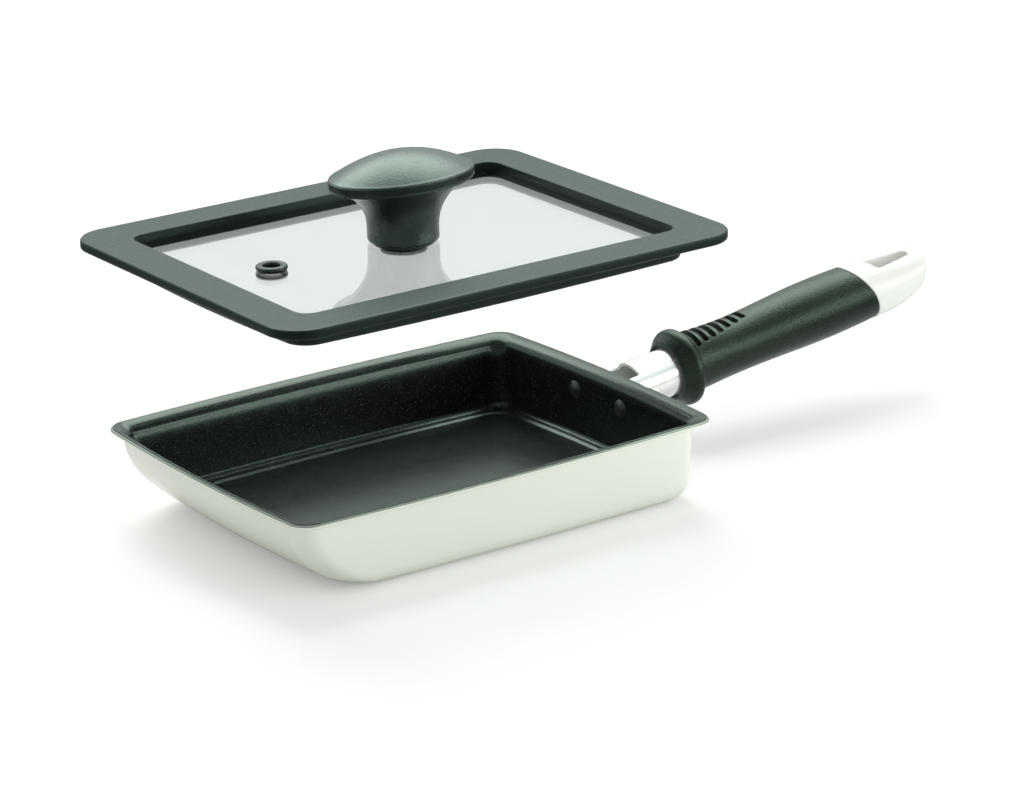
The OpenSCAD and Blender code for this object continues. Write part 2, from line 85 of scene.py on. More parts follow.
def outline(z, left, right, half, r_left, r_right, bow_x=0, bow_y=0, sides=24, arcs=12):
    """Points in millimetres round a rounded rectangle whose sides may bow outwards."""
    points = []

    def side(p, q, nx, ny, bow):
        for i in range(sides):
            t = i / sides
            b = bow * (1 - (2 * t - 1) ** 2)
            points.append((p[0] + (q[0] - p[0]) * t + nx * b, p[1] + (q[1] - p[1]) * t + ny * b, z))

    def corner(x, y, r, start):
        for i in range(arcs):
            points.append((x + r * cos(start + 90 * i / arcs), y + r * sin(start + 90 * i / arcs), z))

    side((right, -half + r_right), (right, half - r_right), 1, 0, bow_x)
    corner(right - r_right, half - r_right, r_right, 0)
    side((right - r_right, half), (left + r_left, half), 0, 1, bow_y)
    corner(left + r_left, half - r_left, r_left, 90)
    side((left, half - r_left), (left, -half + r_left), -1, 0, bow_x)
    corner(left + r_left, -half + r_left, r_left, 180)
    side((left + r_left, -half), (right - r_right, -half), 0, -1, bow_y)
    corner(right - r_right, -half + r_right, r_right, 270)
    return points


def in_side(z):
    """How far the long walls stand in from the rim at height z."""
    return flare_w + lean * (flare_z - z) / flare_z


def in_far(z, bottom):
    """How far the scooped wall stands in from the rim at height z."""
    return flare_far + scoop * ((flare_z - z) / (flare_z - bottom)) ** 2


def quarter(r, steps):
    """(Rise, inset) round a quarter circle, from where it leaves the level to where it stands upright."""
    angles = [90 * k / steps for k in range(steps + 1)]
    return [(r * (1 - cos(a)), r * (1 - sin(a))) for a in angles]


def pan_ring(z, side, near, far, shrink=0):
    """Ring of the pan at height z; its long, near and far walls stand in from the rim by the given amounts."""
    depth = 1 - z / pan_h
    r_far, r_near = (rim_corner + gain * depth - shrink for gain in (corner_gain_far, corner_gain_near))
    return outline(z, -half_l + far, half_l - near, half_w - side, r_far, r_near, bow_end,
                   bow_side * (1 - bow_loss * depth))


def flare_ring(a, d):
    """The flare at angle a from upright, at distance d inside the outer face."""
    left = 1 - (1 - cos(a)) / (1 - cos(flare_a))
    s = flare_w * left + d * cos(a)
    z = flare_z + flare_rise * sin(a) / sin(flare_a) + d * sin(a)
    return pan_ring(z, s, s, flare_far * left + d * cos(a), min(d, wall) * cos(a))


def inner_rings(d):
    """The inner face from the rim down to the floor panel, at distance d inside the outer face."""
    low, rows = floor_z + d - wall, []
    for i in range(wall_rows + 1):
        z = flare_z - (flare_z - low - fillet_r) * (i / wall_rows) ** wall_spread
        rows.append((z, d + thicker * (1 - math.exp((z - flare_z) / thicker_h))))
    rows += [(low + z, d + thicker + e) for z, e in quarter(fillet_r, 10)[-2::-1]]
    rows += [(low - floor_step * drop, d + thicker + fillet_r + ledge_w + out) for out, drop in step_rows]
    rings = [flare_ring(a, d) for a in range(flare_a, 10, -4)]
    for z, e in rows:
        at = max(z, low)
        rings.append(pan_ring(z, in_side(at) + e, flare_w + e, in_far(at, low) + e, d))
    return rings


def shell(name, rings, loop=False):
    """A closed mesh through rings of points in millimetres: with flat ends, or as a loop of rings."""
    size, count = len(rings[0]), len(rings)
    faces = []
    for k in range(count if loop else count - 1):
        low, high = k * size, (k + 1) % count * size
        faces += [(low + i, low + (i + 1) % size, high + (i + 1) % size, high + i) for i in range(size)]
    if not loop:
        faces += [tuple(range(size))[::-1], tuple(range((count - 1) * size, count * size))]
    mesh = bpy.data.meshes.new(name)
    mesh.from_pydata([(x / 1000, y / 1000, z / 1000) for ring in rings for x, y, z in ring], [], faces)
    return add_object(name, mesh)


def settle(piece, sharp=38):
    """Turns the faces outwards and shades them smooth, with edges where the surface turns sharply."""
    work = bmesh.new()
    work.from_mesh(piece.data)
    bmesh.ops.recalc_face_normals(work, faces=work.faces)
    work.to_mesh(piece.data)
    work.free()
    piece.data.shade_smooth()
    piece.data.set_sharp_from_angle(angle=math.radians(sharp))
    return piece


def material(name, color, roughness, **constants):
    """A material with one shader. Numbers that are the same all over go straight on its sockets."""
    made = bpy.data.materials.new(name)
    made.use_nodes = True
    shader = made.node_tree.nodes["Principled BSDF"]
    shader.inputs["Base Color"].default_value = (*color, 1)
    shader.inputs["Roughness"].default_value = roughness
    for socket, value in constants.items():
        shader.inputs[socket.replace("_", " ")].default_value = value
    return made, made.node_tree, shader


def place(tree):
    """The point on the piece, in metres in its own axes."""
    found = tree.nodes.get("Texture Coordinate") or tree.nodes.new("ShaderNodeTexCoord")
    return found.outputs["Object"]


def noise(tree, grain_mm, detail, rough=0.6):
    """Cloudy pattern whose grain has the given size."""
    node = tree.nodes.new("ShaderNodeTexNoise")
    node.inputs["Scale"].default_value = 1000 / grain_mm
    node.inputs["Detail"].default_value = detail
    node.inputs["Roughness"].default_value = rough
    tree.links.new(place(tree), node.inputs["Vector"])
    return node.outputs["Fac"]


def span(tree, value, low, high, to_low=0, to_high=1):
    """Moves a value from one range to another, and holds it there."""
    node = tree.nodes.new("ShaderNodeMapRange")
    tree.links.new(value, node.inputs["Value"])
    sockets = ("From Min", "From Max", "To Min", "To Max")
    for socket, number in zip(sockets, (low, high, to_low, to_high)):
        node.inputs[socket].default_value = number
    return node.outputs["Result"]


def blend_colors(tree, share, first, second):
    """Mixes two colours, each given as numbers or as a socket, by a share."""
    node = tree.nodes.new("ShaderNodeMix")
    node.data_type = "RGBA"
    tree.links.new(share, node.inputs[0])
    for socket, color in ((node.inputs[6], first), (node.inputs[7], second)):
        if isinstance(color, tuple):
            socket.default_value = (*color, 1)
        else:
            tree.links.new(color, socket)
    return node.outputs[2]


def color_by(tree, shader, pattern, first, second):
    """Colour of the surface that goes from the first to the second with a pattern."""
    tree.links.new(blend_colors(tree, pattern, first, second), shader.inputs["Base Color"])


def gloss_by(tree, shader, pattern, low, high):
    """Roughness of the surface that goes from low to high with a cloudy pattern."""
    tree.links.new(span(tree, pattern, 0.3, 0.7, low, high), shader.inputs["Roughness"])


def relief(tree, shader, height, depth_mm):
    """Fine relief of the surface, as deep as the given size where height goes from 0 to 1."""
    node = tree.nodes.new("ShaderNodeBump")
    node.inputs["Distance"].default_value = depth_mm / 1000
    tree.links.new(height, node.inputs["Height"])
    tree.links.new(node.outputs["Normal"], shader.inputs["Normal"])


# Rows of (height, distance inside the outer face): the base, the round foot of the wall and the wall
outer_rows = [(0, base_r + 2)] + quarter(base_r, 15)[:-1]
outer_rows += [(base_r + (flare_z - base_r) * i / 12, 0) for i in range(13)]
outer_rings = [pan_ring(z, in_side(z) + e, flare_w + e, in_far(z, 0) + e) for z, e in outer_rows]
outer_rings += [flare_ring(a, 0) for a in range(5, flare_a + 1, 5)]
# Rows of (distance in from the rim, height over the flare's foot) round the rim's ground edge
edge_rows = ((-0.2, 2.85), (-0.3, 3.2), (-0.3, 3.55), (-0.18, 3.92), (0.1, 4.1))
edge_rings = [pan_ring(flare_z + z, e, e, e) for e, z in edge_rows]
pan = settle(shell("enamelled_pan", outer_rings + edge_rings + inner_rings(wall)))

enamel, tree, shader = material("white enamel", (0.83, 0.85, 0.79), 0.14, IOR=1.52,
                                Specular_Tint=(0.93, 1, 0.95, 1))
height = tree.nodes.new("ShaderNodeSeparateXYZ")
tree.links.new(place(tree), height.inputs[0])
bare = span(tree, height.outputs["Z"], bare_from, bare_to)
cream = blend_colors(tree, noise(tree, 60, 2), (0.81, 0.835, 0.77), (0.85, 0.865, 0.81))
color_by(tree, shader, bare, cream, (0.20, 0.22, 0.20))
tree.links.new(bare, shader.inputs["Metallic"])
tree.links.new(span(tree, bare, 0, 1, 0.14, 0.50), shader.inputs["Roughness"])
relief(tree, shader, noise(tree, 2.2, 1), 0.004)
pan.data.materials.append(enamel)
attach(pan, "pan")
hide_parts("pan_body")

# Non-stick lining. A sprayed black coat that covers the inside up to the rim's edge. Light flecks of filler
# show all over it, and it has a satin gloss.
lining = settle(shell("nonstick_lining", inner_rings(wall + gap)[::-1] + inner_rings(wall + gap + coat_t)))


def soft_sheen(weight, tint):
    """Constants of the faint sheen that a dark matt surface has at low angles."""
    return {"Sheen_Weight": weight, "Sheen_Roughness": 0.5, "Sheen_Tint": (*tint, 1)}


coat, tree, shader = material("speckled non-stick coat", (0.008, 0.009, 0.008), 0.3, IOR=1.42,
                              Specular_Tint=(0.75, 1, 0.84, 1), **soft_sheen(0.05, (0.65, 1, 0.75)))
flecks = tree.nodes.new("ShaderNodeTexVoronoi")
flecks.inputs["Scale"].default_value = 1700
tree.links.new(place(tree), flecks.inputs["Vector"])
chance = tree.nodes.new("ShaderNodeSeparateColor")
tree.links.new(flecks.outputs["Color"], chance.inputs[0])
# A cell of the pattern holds a fleck if its chance is over the first, with a radius up to the second
fleck_from, fleck_most = 0.72, 0.34
fleck_r = span(tree, chance.outputs["Red"], fleck_from, 1, 0, fleck_most)
fleck = tree.nodes.new("ShaderNodeMath")
fleck.operation = "LESS_THAN"
tree.links.new(flecks.outputs["Distance"], fleck.inputs[0])
tree.links.new(fleck_r, fleck.inputs[1])
grain = noise(tree, 0.8, 3, 0.65)
dark = blend_colors(tree, span(tree, grain, 0.38, 0.66), (0.0015, 0.0017, 0.0015), (0.010, 0.0105, 0.009))
color_by(tree, shader, fleck.outputs[0], dark, (0.055, 0.056, 0.044))
gloss_by(tree, shader, noise(tree, 5, 3), 0.20, 0.26)
relief(tree, shader, grain, 0.05)
lining.data.materials.append(coat)
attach(lining, "pan")
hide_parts("nonstick_coating")

# Handle bracket. A polished steel plate riveted to the wall, with a neck rolled from the same sheet that is
# open at the top. A web across the neck takes the pull of the handle's bolt.
wall_x = half_l - flare_w + bow_end * (1 - 1 / 25)  # where the bowed wall's outer face stands at the plate
root_z, tilt = 23, 8
neck_r, neck_taper, neck_t, neck_end, neck_open = 10.7, 1, 1.5, 38.5, 45
skirt, skirt_l = 0.13, 1.6  # the neck widens by this share at its root, over about this length
clear_z, clear_h, clear_s = 25.5, 3, 2.2  # from this height on, the root keeps this far off the rim's flare
collar_at = 32.2
web_at, web_t, web_edge = 24, 2.5, 0.3
bolt_hole_r = 2.7
plate_w, plate_low, plate_high, plate_r, plate_edge = 42, 13, flare_z - 0.8, 4, 0.4
sheet_edge, end_inset = 0.3, 0.08


def on_handle(s, y, v):
    """Takes a point from the handle's axes (along, across, above) to the pan's."""
    return (wall_x + s * cos(tilt) - v * sin(tilt), y, root_z + s * sin(tilt) + v * cos(tilt))


def neck_radius(s):
    """The neck tapers to the collar and runs straight from there."""
    return neck_r - neck_taper * min(1, s / collar_at)


def slab(section, low, high, edge):
    """Layers (height, outline) of an extruded outline with rounded rims, where section(e) is drawn in by e."""
    rim = quarter(edge, 4)
    end = section(edge + end_inset)
    layers = [(low, end)] + [(low + h, section(e)) for h, e in rim]
    return layers + [(high - h, section(e)) for h, e in rim[::-1]] + [(high, end)]


def sheet_section(turn, r_in, r_out, edge, centre=0):
    """Outline across a rolled sheet that spans turn degrees, as (y, v) round the handle's axis."""
    middle = (r_in + r_out) / 2
    half = math.radians(turn) / 2 * middle

    def section(e):
        r = max(edge - e, 0.02)
        points = outline(0, r_in + e, r_out - e, half - e, r, r, sides=28, arcs=4)
        angles = [(x, math.degrees(y / middle) + centre) for x, y, _ in points]
        return [(r * sin(a), r * cos(a)) for r, a in angles]
    return section


def join(name, *pieces):
    """Several closed shells as one piece."""
    work = bmesh.new()
    for piece in pieces:
        work.from_mesh(piece.data)
        bpy.data.objects.remove(piece)
    mesh = bpy.data.meshes.new(name)
    work.to_mesh(mesh)
    work.free()
    return add_object(name, mesh)


def along_neck(rings, parts):
    """Splits the long stretch of a straight sheet into parts and draws it in to the neck's taper."""
    made = []
    for k, ring in enumerate(rings):
        pieces = parts if k == len(rings) // 2 - 1 else 1
        for j in range(pieces if k + 1 < len(rings) else 1):
            layer = []
            for p, q in zip(ring, rings[min(k + 1, len(rings) - 1)]):
                s, y, v = (a + (b - a) * (j / pieces) ** 2 for a, b in zip(p, q))
                widened = 1 + skirt * math.exp(-max(s, 0) / skirt_l)
                thin = (1 - (neck_r - neck_radius(s)) / math.hypot(y, v)) * widened
                layer.append(on_handle(s, y * thin, v * thin))
            made.append(layer)
    return made


neck_section = sheet_section(360 - 2 * neck_open, neck_r - neck_t, neck_r, sheet_edge, 180)
neck_rings = []
for s, section in slab(neck_section, 0, neck_end, sheet_edge):
    ring = []
    for y, v in section:
        # The root lies flush with the plate's back, widens into it, and keeps clear of the rim's flare
        rise = max(0, min(1, (root_z + v - clear_z) / clear_h))
        start = (gap + v * sin(tilt)) / cos(tilt) + (flare_w + clear_s) * rise * rise * (3 - 2 * rise)
        ring.append((start + (neck_end - start) * s / neck_end, y, v))
    neck_rings.append(ring)
# The web is held by the neck's sheet and stays clear of the cover above it
web_back = web_at + web_t
web_rings = []
for out, s in ((-web_edge, web_at), (0, web_at + web_edge), (0, web_back - web_edge), (-web_edge, web_back),
               (None, web_back), (None, web_at)):
    ring = []
    for a in range(0, 360, 5):
        in_sheet = neck_open < a < 360 - neck_open
        r = neck_radius(web_at) - (neck_t / 2 if in_sheet else neck_t + 0.2)
        r = bolt_hole_r if out is None else r + out
        ring.append(on_handle(s, r * sin(a), r * cos(a)))
    web_rings.append(ring)


def plate_section(e):
    r = plate_r - e
    points = outline(0, plate_low + e, plate_high - e, plate_w / 2 - e, r, r, sides=6, arcs=10)
    return [(y, z) for z, y, _ in points]


plate_layers = slab(plate_section, wall_x + gap, wall_x + gap + neck_t, plate_edge)
plate_rings = [[(x, y, z) for y, z in section] for x, section in plate_layers]
bracket = settle(join("neck_bracket", shell("neck", along_neck(neck_rings, 12)), shell("plate", plate_rings),
                      shell("web", web_rings, loop=True)))

steel, tree, shader = material("polished steel", (0.88, 0.885, 0.875), 0.25, Metallic=0.8)
gloss_by(tree, shader, noise(tree, 9, 4), 0.22, 0.28)
color_by(tree, shader, noise(tree, 22, 2), (0.94, 0.94, 0.935), (0.97, 0.97, 0.965))
relief(tree, shader, noise(tree, 1.6, 2), 0.0015)
# The matt inner steel is a pale non-metal: painted light that lifts the shade inside the neck
inside, tree, shader = material("brushed steel with painted light", (0.80, 0.82, 0.79), 0.5, IOR=1.5)
gloss_by(tree, shader, noise(tree, 2, 3), 0.42, 0.58)
color_by(tree, shader, noise(tree, 5, 2), (0.90, 0.93, 0.89), (0.95, 0.97, 0.94))
relief(tree, shader, noise(tree, 0.5, 2), 0.003)


def steel_faces(piece):
    """Polished steel on the piece, and the matt steel it was rolled from on the faces that look at the axis,
    made pale as painted light in the neck's shaded inside.
    """
    piece.data.materials.append(steel)
    piece.data.materials.append(inside)
    for face in piece.data.polygons:
        x, y, z = (c * 1000 for c in face.center)
        s = (x - wall_x) * cos(tilt) + (z - root_z) * sin(tilt)
        v = (z - root_z) * cos(tilt) - (x - wall_x) * sin(tilt)
        up = face.normal.z * cos(tilt) - face.normal.x * sin(tilt)
        r, outer_r = math.hypot(y, v), neck_radius(s)
        looks_in = r < outer_r - 0.4 and y * face.normal.y + v * up < 0
        face.material_index = int(looks_in or r < outer_r - neck_t)


steel_faces(bracket)
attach(bracket, "pan")
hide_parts("handle_bracket")

# Arch cover. A second piece of polished sheet bent to a half round, which closes the neck's open top from
# the collar forwards and leaves an arch open in front of it. It is clipped in, with a fine seam each side.
cover_at, seam, cover_edge = 14, 1.3, 0.25
cover_section = sheet_section(2 * (neck_open - seam), neck_r - neck_t, neck_r, cover_edge)
cover_layers = slab(cover_section, cover_at, neck_end, cover_edge)
cover_rings = [[(s, y, v) for y, v in section] for s, section in cover_layers]
cover = settle(shell("arch_cover", along_neck(cover_rings, 12)))
steel_faces(cover)
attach(cover, "pan")
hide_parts("bracket_cover")

# Rivets. Two solid rivets hold the bracket to the wall. Their low domed heads inside the pan are coated
# with the lining, and their tails are pressed flat against the bracket's plate.
rivet_y, rivet_z, rivet_r, head_r, head_h, tail_r = 15, 23.5, 2.4, 3.8, 1.5, 3.6
head_off, tail_off = 8 * gap, 3 * gap  # how far head and tail stand off the sheets


def turned(profile, count):
    """Rings of a turned shape from (radius, height) pairs, round the Z axis."""
    round_z = [(cos(360 * i / count), sin(360 * i / count)) for i in range(count)]
    return [[(r * x, r * y, z) for x, y in round_z] for r, z in profile]


def number_input(tree, name, kind="NodeSocketFloat"):
    """A named input of a tree, returned with the identifier that a modifier sets it by."""
    return tree.interface.new_socket(name=name, in_out="INPUT", socket_type=kind).identifier


def geometry_tree(name):
    """An empty tree with a mesh going in and a mesh coming out."""
    made = bpy.data.node_groups.new(name, "GeometryNodeTree")
    made.interface.new_socket(name="Mesh", in_out="INPUT", socket_type="NodeSocketGeometry")
    made.interface.new_socket(name="Mesh", in_out="OUTPUT", socket_type="NodeSocketGeometry")
    return made, made.nodes.new("NodeGroupInput"), made.nodes.new("NodeGroupOutput")


def close_tree(tree, mesh, made_of, out):
    """Ends a tree: instances become mesh, and the mesh gets its material."""
    real = tree.nodes.new("GeometryNodeRealizeInstances")
    dressed = tree.nodes.new("GeometryNodeSetMaterial")
    tree.links.new(mesh, real.inputs[0])
    tree.links.new(real.outputs[0], dressed.inputs["Geometry"])
    dressed.inputs["Material"].default_value = made_of
    tree.links.new(dressed.outputs[0], out.inputs[0])


def grown(piece, tree, values, made_of):
    """Runs a tree on the piece and keeps the result as a plain mesh."""
    modifier = piece.modifiers.new("shape", "NODES")
    modifier.node_group = tree
    for socket, value in values.items():
        modifier[socket] = value
    bpy.context.view_layer.update()
    evaluated = piece.evaluated_get(bpy.context.evaluated_depsgraph_get())
    mesh = bpy.data.meshes.new_from_object(evaluated)
    piece.modifiers.clear()
    piece.data = mesh
    mesh.materials.clear()
    mesh.materials.append(made_of)
    return settle(piece)


ball = (head_r ** 2 + head_h ** 2) / (2 * head_h)
head = [(math.sqrt(ball ** 2 - (ball - head_h + h) ** 2), h) for h in (1.495, 1.45, 1.3, 1.1, 0.85, 0.6, 0.35)]
back_at = wall + coat_t + head_off + neck_t + tail_off
# Rows of (radius, height): the domed head and its rolled edge, the shank, and the pressed tail
rivet_profile = [(r, -h) for r, h in head] + [
    (3.74, -0.14), (3.72, -0.03), (3.6, 0), (rivet_r - gap, 0), (rivet_r - gap, back_at), (tail_r, back_at),
    (tail_r + 0.18, back_at + 0.2), (tail_r, back_at + 0.8), (3, back_at + 1.15), (2, back_at + 1.2)]
rivets = shell("rivet_pair", turned(rivet_profile, 48))

rivet_coat, coat_tree, shader = material("coated rivet", (0.03, 0.033, 0.03), 0.3,
                                         Specular_Tint=(0.86, 1, 0.91, 1))
color_by(coat_tree, shader, noise(coat_tree, 0.6, 3), (0.010, 0.012, 0.010), (0.04, 0.046, 0.04))
relief(coat_tree, shader, noise(coat_tree, 0.7, 2), 0.012)

tree, given, out = geometry_tree("rivets in a row")
count = number_input(tree, "Rivets", "NodeSocketInt")
first = number_input(tree, "First rivet", "NodeSocketVector")
step = number_input(tree, "Step to the next", "NodeSocketVector")
lay = number_input(tree, "Turn", "NodeSocketVector")
row = tree.nodes.new("GeometryNodeMeshLine")
tree.links.new(given.outputs["Rivets"], row.inputs["Count"])
tree.links.new(given.outputs["First rivet"], row.inputs["Start Location"])
tree.links.new(given.outputs["Step to the next"], row.inputs["Offset"])
each = tree.nodes.new("GeometryNodeInstanceOnPoints")
tree.links.new(row.outputs["Mesh"], each.inputs["Points"])
tree.links.new(given.outputs["Mesh"], each.inputs["Instance"])
tree.links.new(given.outputs["Turn"], each.inputs["Rotation"])
close_tree(tree, each.outputs[0], rivet_coat, out)
head_x = wall_x - wall - coat_t - head_off
grown(rivets, tree, {count: 2, first: (head_x / 1000, -rivet_y / 1000, rivet_z / 1000),
                     step: (0, 2 * rivet_y / 1000, 0), lay: (0, math.pi / 2, 0)}, rivet_coat)
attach(rivets, "pan")
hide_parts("rivets")

# Handle bolt, its washer and the insert in the core. Plain turned steel and brass, hidden inside the neck: the
# bolt goes through the web, with the washer under its head, and draws up the insert in the handle's core.


def paint(name, made_of):
    """Gives a node of the CAD its material."""
    nodes[name].data.materials.clear()
    nodes[name].data.materials.append(made_of)


plain_steel, tree, shader = material("turned steel", (0.60, 0.61, 0.60), 0.3, Metallic=1)
gloss_by(tree, shader, noise(tree, 0.8, 3), 0.24, 0.38)
color_by(tree, shader, noise(tree, 6, 3), (0.55, 0.57, 0.55), (0.66, 0.67, 0.65))
relief(tree, shader, noise(tree, 0.4, 2), 0.004)
brass, tree, shader = material("turned brass", (0.72, 0.52, 0.22), 0.32, Metallic=1)
color_by(tree, shader, noise(tree, 5, 3), (0.66, 0.47, 0.19), (0.76, 0.57, 0.27))
relief(tree, shader, noise(tree, 0.4, 2), 0.004)
for name, made_of in (("bolt_washer", plain_steel), ("handle_bolt", plain_steel), ("core_insert", brass)):
    paint(name, made_of)

# Handle core. White glossy plastic, moulded as a round bar inside the grip, with a tail that shows behind it:
# its foot curves up to the tip, its top is flat, and a tapered hanging hole goes through it.
grip_r, grip_swell, waist_at, belly_at = 12.2, 0.65, 64, 112
grip_end, tail_end = 132, 164.2
part_lean, part_bulge = 0.36, 2.3
core_r, core_from, core_step = 8.4, 28.5, 40.4
tail_w, tail_top, tip_w, tip_top = 11.4, 8.4, 1.2, 7.2
hole_from, hole_to, hole_w, hole_corner, hole_end_r = 138.8, 158.8, 11, 1.6, 3


def grip_radius(s):
    """The grip is slim where the fingers close and full in the palm."""
    return grip_r - grip_swell * cos(180 * (s - waist_at) / (belly_at - waist_at))


def oval(s, leaning, w, low, high, power=1, count=96):
    """Section across the handle; where leaning is 1 it lies in the curved face that ends the grip."""
    ring = []
    for i in range(count):
        c, d = cos(360 * i / count), sin(360 * i / count)
        y = w * math.copysign(abs(c) ** power, c)
        v = (high + low) / 2 + (high - low) / 2 * math.copysign(abs(d) ** power, d)
        ring.append((s - leaning * (part_lean * v + part_bulge * (v / grip_r) ** 2), y, v))
    return ring


def tail_ring(k):
    """Section of the tail, from k = 0 at the grip to 1 at the tip; the powers shape how it closes."""
    s = grip_end + 2 * gap + (tail_end - grip_end) * sin(90 * k)
    r, start, closing = grip_radius(grip_end), (1 - k) ** 3, math.sqrt(max(0, 1 - k ** 2.6))
    width = tip_w + (tail_w - tip_w) * closing ** 0.8 + (r - tail_w) * start
    foot = tip_top - (tip_top + r) * closing ** 1.8
    return oval(s, 1 - k, width, foot, tail_top + (r - tail_top) * start, 0.9)


def arc(x, y, r, start, end, steps):
    angles = [start + (end - start) * i / steps for i in range(steps + 1)]
    return [(x + r * cos(a), y + r * sin(a)) for a in angles]


hidden = oval(grip_end + 2 * gap, 1, core_r - 1, -core_r + 1, core_r - 1)
tail_rings = [hidden] + [tail_ring(k / 40) for k in range(40)] + [tail_ring(0.99), tail_ring(0.999)]
tail = shell("tail", [[on_handle(*p) for p in ring] for ring in tail_rings])
run_x = hole_to - hole_end_r - hole_from - hole_corner
run_y = hole_w / 2 - hole_corner
square_to = math.degrees(math.atan2(-run_y, run_x)) + math.degrees(
    math.acos((hole_corner - hole_end_r) / math.hypot(run_x, run_y)))
hole = (arc(hole_to - hole_end_r, 0, hole_end_r, -square_to, square_to, 24)
        + arc(hole_from + hole_corner, run_y, hole_corner, square_to, 180, 10)
        + arc(hole_from + hole_corner, -run_y, hole_corner, 180, 360 - square_to, 10))
cutter = settle(shell("hole_cutter", [[on_handle(s, y, v) for s, y in hole] for v in (-30, 30)]))
settle(tail)
cut = tail.modifiers.new("hole", "BOOLEAN")
cut.object, cut.solver = cutter, "EXACT"
# A fine grid and some smoothing round the edges of the hole, as in a moulded piece
melt = tail.modifiers.new("melt", "REMESH")
melt.mode, melt.voxel_size = "VOXEL", 0.00036
soften = tail.modifiers.new("soften", "SMOOTH")
soften.factor, soften.iterations = 0.6, 9
bpy.context.view_layer.update()
tail_mesh = bpy.data.meshes.new_from_object(tail.evaluated_get(bpy.context.evaluated_depsgraph_get()))
tail.modifiers.clear()
tail.data = tail_mesh
bpy.data.objects.remove(cutter)
end_r = neck_radius(neck_end)
plug_in_r = end_r - neck_t - 0.2
# Rows of (radius, place along the handle): the plug in the neck, the shoulder against it, the bar in the grip
bar_profile = [(0.5, core_from), (plug_in_r - 0.4, core_from), (plug_in_r, core_from + 0.4),
               (plug_in_r, neck_end + gap), (end_r - 0.3, neck_end + gap), (end_r, neck_end + 0.4),
               (end_r, core_step), (core_r, core_step), (core_r, grip_end + 4), (0.5, grip_end + 4)]
bar = shell("bar", [[on_handle(z, x, y) for x, y, z in ring] for ring in turned(bar_profile, 48)])
core = settle(join("handle_core_and_tail", tail, bar), 60)

white, tree, shader = material("white plastic", (0.86, 0.87, 0.85), 0.34, IOR=1.46)
gloss_by(tree, shader, noise(tree, 4, 3), 0.30, 0.38)
color_by(tree, shader, noise(tree, 30, 2), (0.80, 0.815, 0.78), (0.84, 0.845, 0.82))
relief(tree, shader, noise(tree, 1.2, 2), 0.003)
core.data.materials.append(white)
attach(core, "pan")
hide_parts("handle_core")

# Grip sleeve. Charcoal rubber moulded over the core, with a fine grain, a thick collar against the neck, and
# a field of thumb grooves on top whose length falls towards the tail.
collar_r, grip_from = 15.8, collar_at + 9.6
grooves, groove_from, groove_pitch = 7, collar_at + 11.6, 4.4
groove_half, groove_depth, groove_reach, groove_shorter, groove_edge = 1.15, 1.8, 8.1, 0.8, 0.3
thumb_rise, rise_end = 1.1, 68
ring_step, sleeve_edge, sleeve_sides = 0.25, 0.35, 220
collar_s = (0, 0.25, 1.6, 2.9, 3.3, 3.8, 5, 6.8, 7.6, 8.5, 9.2, 9.6)
collar_profile = (11.6, 12.05, 13.2, 14.3, 14.7, 15.25, collar_r, collar_r, 15.2, 13.9, 12.7, 12.25)


def through(xs, ys, parts):
    """Points of a smooth line through the given ones, with each stretch split into parts."""
    made = []
    for k in range(len(xs) - 1):
        p0, p1, p2, p3 = (ys[max(0, min(len(ys) - 1, k + j))] for j in (-1, 0, 1, 2))
        for j in range(parts):
            t = j / parts
            y = 0.5 * (2 * p1 + (p2 - p0) * t + (2 * p0 - 5 * p1 + 4 * p2 - p3) * t * t
                       + (3 * p1 - p0 - 3 * p2 + p3) * t ** 3)
            made.append((xs[k] + (xs[k + 1] - xs[k]) * t, y))
    return made


def round_ring(s, r, leaning):
    """Ring of the sleeve; the ribs under the thumb stand out of the grip, most of all beside the collar."""
    rise = 0
    if s > grip_from - 0.3:
        rise = thumb_rise * (max(0, rise_end - s) / (rise_end - grip_from)) ** 1.3
    return oval(s, leaning, r, -r, r + rise, count=sleeve_sides)


sleeve_rings = [round_ring(collar_at + s, r, 0) for s, r in through(collar_s, collar_profile, 3)]
groove_zone = groove_from + groove_pitch * grooves
places = [grip_from + ring_step * i for i in range(int((groove_zone - grip_from) / ring_step))]
places += [groove_zone + (grip_end - groove_zone) * i / 30 for i in range(30)]
sleeve_rings += [round_ring(s, grip_radius(s), (s - grip_from) / (grip_end - grip_from)) for s in places]
for a in (20, 45, 70, 90):
    inset, drawn_in = sleeve_edge * (1 - sin(a)), sleeve_edge * (1 - cos(a))
    sleeve_rings.append(round_ring(grip_end - inset, grip_radius(grip_end) - drawn_in, 1))
bore, narrow_bore, mouth = end_r + 2 * gap, core_r + 2 * gap, end_r + 1.2
# Rows of (place, radius, lean) back through the sleeve's bore, which steps round the core and the neck
bore_rows = ((grip_end, narrow_bore, 1), (core_step + 0.2, narrow_bore, 0), (core_step + gap, bore, 0),
             (collar_at + 1.4, bore, 0), (collar_at + 1.2, mouth, 0), (collar_at + 0.2, mouth, 0),
             (collar_at, mouth + 0.1, 0))
sleeve_rings += [oval(s, leaning, r, -r, r, count=sleeve_sides) for s, r, leaning in bore_rows]
sleeve = settle(shell("grip_sleeve_grooved", sleeve_rings, loop=True))

rubber, rubber_tree, shader = material("grained rubber", (0.010, 0.013, 0.010), 0.28, IOR=1.40,
                                       Specular_Tint=(0.7, 1, 0.78, 1), **soft_sheen(0.015, (0.65, 1, 0.75)))
grain = noise(rubber_tree, 0.8, 3, 0.65)
color_by(rubber_tree, shader, span(rubber_tree, grain, 0.35, 0.65), (0.001, 0.0013, 0.001),
         (0.011, 0.014, 0.011))
gloss_by(rubber_tree, shader, noise(rubber_tree, 9, 2), 0.25, 0.31)
relief(rubber_tree, shader, grain, 0.20)

